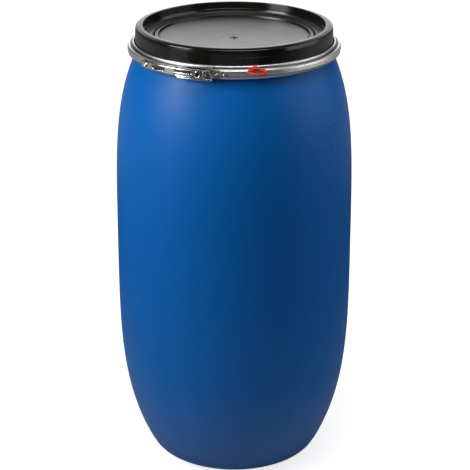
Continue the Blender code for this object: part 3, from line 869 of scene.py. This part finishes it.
def lever_press(azimuth, up):
    """How far the lever's web is pressed outward at a place."""
    def past(place):
        return math.radians(azimuth - place) * LEVER_OUTER

    slot = oval(past(LEVER_SLOT), up - 0.0006, 0.0165, 0.0034, 0.0010)
    rib_run = past(LEVER_RIB[0])
    rib_over = past(LEVER_RIB[1])
    rib = smooth(rib_run, -0.0006, 0.0012) * (1 - smooth(rib_over, 0.0, 0.009))
    taper = 1 - 0.9 * smooth(rib_over, 0.0, 0.010)
    high_rib = rib * (1 - smooth(abs(up + 0.0016), 0.0009 * taper, 0.0018 * taper + 0.0002))
    trough = smooth(rib_run, 0.0, 0.0010) * (1 - smooth(abs(up), 0.0058, 0.0066))
    tip = oval(past(EYELET_AZIMUTH), up, 0.0046, 0.0046, 0.0008)
    lip = 1 - smooth(abs(math.hypot(past(LEVER_HOLE) / 0.0050, up / 0.0056) - 1), 0.0, 0.25)
    return 0.0018 * high_rib + 0.0008 * (lip - trough) - 0.0016 * slot - 0.0005 * tip


def lever_line(azimuth):
    """Middle line of the lever's pressed channel at an azimuth, as (radius, height)."""
    run = math.radians(azimuth - LEVER_TIP) * LEVER_OUTER
    half = LEVER_HALF_HEIGHT * (0.52 + 0.48 * smooth(run, 0.0, 0.0085) ** 0.8) - CLOSURE_SHEET / 2
    web = LEVER_OUTER - CLOSURE_SHEET / 2 - 0.0012 * (1 - smooth(run, 0.0, 0.006))
    inner = LEVER_INNER + 0.0002
    bend = web - LEVER_CORNER
    span = half - LEVER_CORNER
    line = [(inner, -half), ((inner + bend) / 2, -half), (bend, -half)]
    line += arc_of((bend, -span), LEVER_CORNER, -90, 0, 6)[1:-1]
    line += [(web + lever_press(azimuth, up), up) for up in even_steps(-span, span, span / 14)]
    line += arc_of((bend, span), LEVER_CORNER, 0, 90, 6)[1:-1]
    return line + [(bend, half), ((inner + bend) / 2, half), (inner, half)]


def closure_section(azimuth, outline):
    """A closed outline of (radius, height over the band's middle) as points at an azimuth."""
    return [round_point(radius, azimuth, BAND_MIDDLE + up) for radius, up in outline]


def bent_box(azimuths, inner, outer, half_at):
    """A box bent round the drum between two radii. half_at gives its half height at an azimuth."""
    sections = []
    for azimuth in azimuths:
        half = half_at(azimuth)
        corners = ((inner, -half), (outer, -half), (outer, half), (inner, half))
        sections.append(closure_section(azimuth, corners))
    return sweep(sections, closed=False)


def lever_hole_half(azimuth):
    """Half height of the oval hole in the lever at an azimuth."""
    along = math.radians(azimuth - LEVER_HOLE) * LEVER_OUTER
    return 0.0044 * math.sqrt(max(1 - (along / 0.0038) ** 2, 0.02))


def make_lever():
    sections = [closure_section(azimuth, sheet_outline(lever_line(azimuth), CLOSURE_SHEET))
                for azimuth in even_steps(LEVER_TIP, LEVER_EAR_END, 0.16)]
    window = bent_box(even_steps(LEVER_WEB_END, LEVER_EAR_END + 2.0, 0.5), 0.2200, 0.2350,
                      lambda azimuth: LEVER_HALF_HEIGHT - CLOSURE_SHEET)
    hole = bent_box(even_steps(LEVER_HOLE - 0.9, LEVER_HOLE + 0.9, 0.15), 0.2270, 0.2350, lever_hole_half)
    cutters = [window, hole,
               upright_cutter(PIVOT_RADIUS, PIVOT_AZIMUTH, PIN_BORE),
               upright_cutter(BAIL_LEVER_RADIUS, BAIL_LEVER_AZIMUTH, 0.0024),
               radial_cutter(EYELET_AZIMUTH, 0.0030, middle=LEVER_OUTER)]
    mesh = cut(solid_mesh(sweep(sections, closed=False)), cutters)
    add_mesh("lever_pressing", mesh, "lever", "closure_steel", ("lever",), sharp=45)


def placed_turning(outline, sides, place, outward):
    """An outline of (radius, distance out) turned round an axis that points outward."""
    axis = Vector(outward).normalized()
    side = axis.orthogonal().normalized()
    other = axis.cross(side)
    sections = []
    for corner in range(sides):
        turn = 2 * math.pi * corner / sides
        direction = side * math.cos(turn) + other * math.sin(turn)
        sections.append([Vector(place) + direction * radius + axis * out for radius, out in outline])
    return sweep(sections, closed=True)


def make_eyelet():
    outline = filleted([(0.0021, -0.0020), (0.0026, -0.0020, 0.0002), (0.0026, 0.0002, 0.0002),
                        (0.0043, 0.0002, 0.0003), (0.0044, 0.0009, 0.0006), (0.0030, 0.0018, 0.0008),
                        (0.0017, 0.0010, 0.0006), (0.0016, -0.0020, 0.0002), (0.0021, -0.0020)],
                       steps=4)[:-1]
    place = round_point(LEVER_OUTER + 0.0002, EYELET_AZIMUTH, BAND_MIDDLE)
    ring = placed_turning(outline, 40, place, round_point(1.0, EYELET_AZIMUTH, 0.0))
    add_piece("tip_eyelet", ring, "lever", "closure_steel", ("lever_eyelet",))


def make_rivets(name, azimuths, body):
    seat = PLATE_INNER + CLOSURE_SHEET + 0.0003 - BAND_OUTER
    tail = -BAND_SHEET - 0.0003
    head = [(0.0016, seat), (0.0028, seat)]
    head += [(0.0028 * math.cos(math.radians(step)), seat + 0.0004 + 0.0012 * math.sin(math.radians(step)))
             for step in range(0, 91, 15)]
    outline = [(0.0, tail - 0.0010), (0.0021, tail - 0.0010), (0.0024, tail - 0.0006), (0.0024, tail)]
    outline += [(0.0016, tail)] + head
    for number, azimuth in enumerate(azimuths, start=1):
        place = round_point(BAND_OUTER, azimuth, BAND_MIDDLE)
        rivet = placed_turning(outline, 32, place, round_point(1.0, azimuth, 0.0))
        add_piece(f"{name}_{number}_head", rivet, body, "closure_steel", (f"{name}_{number}",))


def plate_solid(start, end, half_at, press=None, step=0.2):
    """A thin plate bent round the band. half_at gives its half height at an azimuth."""
    rows = 20
    sections = []
    for azimuth in even_steps(start, end, step):
        half = half_at(azimuth)
        line = []
        for row in range(rows + 1):
            up = -half + 2 * half * row / rows
            lift = press(azimuth, up) if press else 0.0
            line.append((PLATE_INNER + CLOSURE_SHEET / 2 + lift, up))
        sections.append(closure_section(azimuth, sheet_outline(line, CLOSURE_SHEET)))
    return sweep(sections, closed=False)


def make_hinge_bracket():
    plate = plate_solid(HINGE_PLATE_START, HINGE_PLATE_END, lambda azimuth: HINGE_HALF_HEIGHT, step=0.5)
    outline = filleted([(0.0, -0.0060), (0.0038, -0.0060, 0.0005), (0.0038, 0.0060, 0.0005), (0.0, 0.0060)],
                       steps=3)
    barrel = placed_turning(outline, 32, round_point(PIVOT_RADIUS, PIVOT_AZIMUTH, BAND_MIDDLE), (0, 0, 1))
    cutters = [upright_cutter(PIVOT_RADIUS, PIVOT_AZIMUTH, PIN_BORE)] + rivet_bores(HINGE_RIVETS)
    mesh = cut(combined(solid_mesh(plate), [barrel], "UNION"), cutters)
    add_mesh("hinge_plate", mesh, "band_left", "closure_steel", ("hinge_bracket",), sharp=45)
    make_rivets("hinge_rivet", HINGE_RIVETS, "band_left")


def catch_half(azimuth):
    """Half height of the catch plate: full at the left, a pointed tongue at the right."""
    step = smooth(azimuth, *CATCH_STEP)
    tongue = 0.0060 - 0.0022 * smooth(azimuth, CATCH_STEP[1], CATCH_PLATE_END)
    end = 1 - 0.35 * smooth(azimuth, CATCH_PLATE_END - 0.5, CATCH_PLATE_END)
    return (CATCH_HALF_HEIGHT * (1 - step) + tongue * step) * end


def catch_press(azimuth, up):
    lift = 0.0
    for rivet in CATCH_RIVETS:
        away = math.hypot(along_at(azimuth - rivet), up)
        lift += 0.00045 * smooth(away, 0.0030, 0.0042) * (1 - smooth(away, 0.0042, 0.0056))
    return lift


def make_catch_bracket():
    plate = plate_solid(CATCH_PLATE_START, CATCH_PLATE_END, catch_half, catch_press)
    lip = bent_box(even_steps(CATCH_PLATE_START, CATCH_PLATE_START + 0.32, 0.08), PLATE_INNER + 0.0002,
                   BAIL_CATCH_RADIUS - 0.0004, lambda azimuth: CATCH_HALF_HEIGHT - 0.0002)
    square_hole = bent_box((-3.95, -3.45), 0.2190, 0.2260, lambda azimuth: 0.0017)
    mesh = cut(combined(solid_mesh(plate), [lip], "UNION"), rivet_bores(CATCH_RIVETS) + [square_hole])
    add_mesh("catch_plate", mesh, "band_right", "closure_steel", ("catch_bracket",), sharp=45)
    make_rivets("catch_rivet", CATCH_RIVETS, "band_right")


def make_lever_pin():
    half = LEVER_HALF_HEIGHT
    outline = filleted([(0.0, -half), (0.0012, -half, 0.0003), (0.0012, half, 0.0003), (0.0, half)], steps=3)
    pin = placed_turning(outline, 24, round_point(PIVOT_RADIUS, PIVOT_AZIMUTH, BAND_MIDDLE), (0, 0, 1))
    add_piece("pivot_pin", pin, "band_left", "closure_steel", ("lever_pin",))


def bail_route():
    """Points along the bail's wire, its corners rounded."""
    corner = 0.0036
    lever_end = (BAIL_LEVER_RADIUS, BAIL_LEVER_AZIMUTH)
    catch_end = (BAIL_CATCH_RADIUS, BAIL_CATCH_AZIMUTH)
    middle_radius = (lever_end[0] + catch_end[0]) / 2
    length = math.radians(catch_end[1] - lever_end[1]) * middle_radius
    flat = filleted([(0.0, 0.0055), (0.0, BAIL_HALF_HEIGHT, corner), (length, BAIL_HALF_HEIGHT, corner),
                     (length, -BAIL_HALF_HEIGHT, corner), (0.0, -BAIL_HALF_HEIGHT, corner),
                     (0.0, -0.0055)], steps=8)
    dense = []
    for here, there in zip(flat, flat[1:]):
        pieces = max(1, math.ceil(math.dist(here, there) / 0.002))
        for step in range(pieces):
            share = step / pieces
            dense.append((here[0] + (there[0] - here[0]) * share, here[1] + (there[1] - here[1]) * share))
    dense.append(flat[-1])
    route = []
    for along, up in dense:
        share = along / length
        radius = lever_end[0] + (catch_end[0] - lever_end[0]) * share
        azimuth = lever_end[1] + (catch_end[1] - lever_end[1]) * share
        route.append(round_point(radius, azimuth, BAND_MIDDLE + up))
    return route


def make_bail():
    add_piece("bail_wire", tube(bail_route(), BAIL_WIRE, sides=20), "bail", "closure_steel", ("draw_bail",),
              look="wire_steel")


# Seal pin

def make_seal_pin():
    centre = Vector(round_point(SEAL_LOOP_PLACE, SEAL_LOOP_AZIMUTH, SEAL_LOOP_HEIGHT))
    droop = math.radians(SEAL_LOOP_DROOP)
    lean = math.radians(SEAL_LOOP_LEAN)
    outward = Vector(round_point(math.cos(droop), SEAL_LOOP_AZIMUTH, -math.sin(droop)))
    sideways = Vector(round_point(math.cos(lean), SEAL_LOOP_AZIMUTH + 90.0, -math.sin(lean)))
    route = []
    for step in range(96):
        turn = 2 * math.pi * step / 96
        across = sideways * math.cos(turn) * SEAL_LOOP_ACROSS
        route.append(centre + across + outward * math.sin(turn) * SEAL_LOOP_REACH)
    loop = solid_mesh(tube(route, SEAL_STRAND, sides=20, closed=True))
    foot = Vector(round_point(*SEAL_STUB_FOOT))
    head = Vector(round_point(*SEAL_STUB_HEAD))
    along = head - foot
    stub = placed_turning(filleted([(0.0, 0.0), (SEAL_STUB_RADIUS, 0.0, 0.0006),
                                    (SEAL_STUB_RADIUS, along.length, 0.0007), (0.0, along.length)]),
                          32, foot, along)
    bottom = Vector(round_point(SEAL_SHANK_PLACE, SEAL_AZIMUTH, 0.9131))
    collar = Vector(round_point(SEAL_SHANK_PLACE, SEAL_AZIMUTH, foot.z))
    shank = tube([bottom.lerp(collar, step / 8) for step in range(9)], 0.0012, sides=16)
    mesh = combined(loop, [stub, shank], "UNION")
    add_mesh("seal_pin_moulding", mesh, "seal_pin", "seal_plastic", ("seal_pin",), sharp=60)


# Studio

FLOOR_REACH = 1.5           # the floor is lit round the drum, and past this the studio is dark
FLOOR_RADIUS = 8.0


def floor_paper():
    """Pale paper: lit by the lamps, and never darker than a soft shadow to the camera. To other
    rays it is dark past its reach, apart from a faint glow far out at the sides and behind."""
    nodes = Nodes("floor_paper")
    place = nodes.place()
    x, y, _ = nodes.split(place)
    away = nodes.node("VectorMath", {0: place}, output=1, operation="LENGTH")
    camera_ray = nodes.node("LightPath", output=0)
    tint = nodes.mix(nodes.noise(place, 3.0, 2.0), (0.60, 0.60, 0.60, 1), (0.64, 0.64, 0.64, 1))
    near = nodes.times(nodes.ramp(away, FLOOR_REACH * 0.35, FLOOR_REACH, 1.0, 0.0),
                       nodes.ramp(nodes.size(x), 0.2, 0.5, 1.0, 0.8))
    lit = nodes.mix(near, (0.0, 0.0, 0.0, 1), tint)
    lift = nodes.times(nodes.ramp(away, 0.35, 1.0, 0.76, 1.0), camera_ray)
    far = nodes.times(nodes.ramp(away, 1.8, 2.6), nodes.ramp(y, -3.0, 0.5, 0.02, 0.34))
    glow = nodes.times(far, nodes.math("SUBTRACT", 1.0, camera_ray))
    return nodes.finish(Base_Color=nodes.mix(camera_ray, lit, tint), Roughness=0.9,
                        Specular_IOR_Level=0.0, Emission_Color=(1, 1, 1, 1),
                        Emission_Strength=nodes.plus(lift, glow))


def make_floor():
    corners = [round_point(FLOOR_RADIUS, azimuth, -0.0005) for azimuth in ring_azimuths(64)]
    mesh = bpy.data.meshes.new("floor")
    mesh.from_pydata(corners, [], [tuple(range(len(corners)))])
    mesh.materials.append(floor_paper())
    item = new_object("floor", mesh)


def area_light(name, azimuth, distance, height, size, power, aim=0.6):
    """A soft box of a (width, height) that stands off the drum and faces a height on its axis."""
    place = Vector(round_point(distance, azimuth, height))
    data = bpy.data.lights.new(name, "AREA")
    data.shape = "RECTANGLE"
    data.size, data.size_y = size
    data.energy = power
    lamp = new_object(name, data)
    lamp.location = place
    lamp.rotation_euler = (place - Vector((0.0, 0.0, aim))).to_track_quat("Z", "Y").to_euler()


def make_world():
    """White to the camera. It lights the drum only faintly, apart from a backdrop behind."""
    world = bpy.data.worlds.new("studio")
    bpy.context.scene.world = world
    nodes = Nodes("studio", world)
    nodes.tree.nodes.clear()
    x, y, _ = nodes.split(nodes.node("TexCoord", output="Generated"))
    behind = nodes.ramp(y, 0.80, 0.97, 0.05, 2.2, interpolation_type="SMOOTHSTEP")
    glow = nodes.times(behind, nodes.ramp(nodes.size(x), 0.20, 0.45, 1.0, 0.12))
    light = nodes.node("Background", {"Color": glow, "Strength": 1.0})
    seen = nodes.node("Background", {"Color": (1, 1, 1, 1)})
    camera_ray = nodes.node("LightPath", output="Is Camera Ray")
    output = nodes.tree.nodes.new("ShaderNodeOutputWorld")
    nodes.put(output.inputs["Surface"], nodes.node("MixShader", {0: camera_ray, 1: light, 2: seen}))


def make_lights():
    make_world()
    area_light("key", -62.0, 1.6, 1.40, (0.75, 0.75), 22.0, aim=1.0)
    area_light("key_low", -62.0, 1.75, 0.55, (0.7, 0.7), 0.5, aim=0.55)
    area_light("fill_right", 84.0, 2.2, 1.55, (2.2, 1.8), 17.0, aim=0.8)
    area_light("overhead", 20.0, 0.5, 2.6, (1.2, 1.2), 22.0)
    area_light("back_high", 180.0, 2.2, 2.5, (2.4, 0.8), 2.4, aim=0.93)
    area_light("front_low", 0.0, 3.2, 0.15, (3.0, 0.7), 1.2, aim=0.5)


def make_camera():
    data = bpy.data.cameras.new("camera")
    data.sensor_width = 36.0
    data.lens = CAMERA_LENS
    data.shift_x = CAMERA_SHIFT
    camera = new_object("camera", data)
    camera.location = (0.0, -CAMERA_DISTANCE, CAMERA_HEIGHT)
    camera.rotation_euler = (math.radians(90.0 - CAMERA_PITCH), 0.0, 0.0)
    bpy.context.scene.camera = camera
    bpy.context.scene.view_settings.view_transform = "Standard"


make_camera()
make_drum()
make_mould_marks()
make_lid()
make_gasket()
make_band()
make_hinge_bracket()
make_catch_bracket()
make_lever()
make_lever_pin()
make_eyelet()
make_bail()
make_seal_pin()
make_floor()
make_lights()
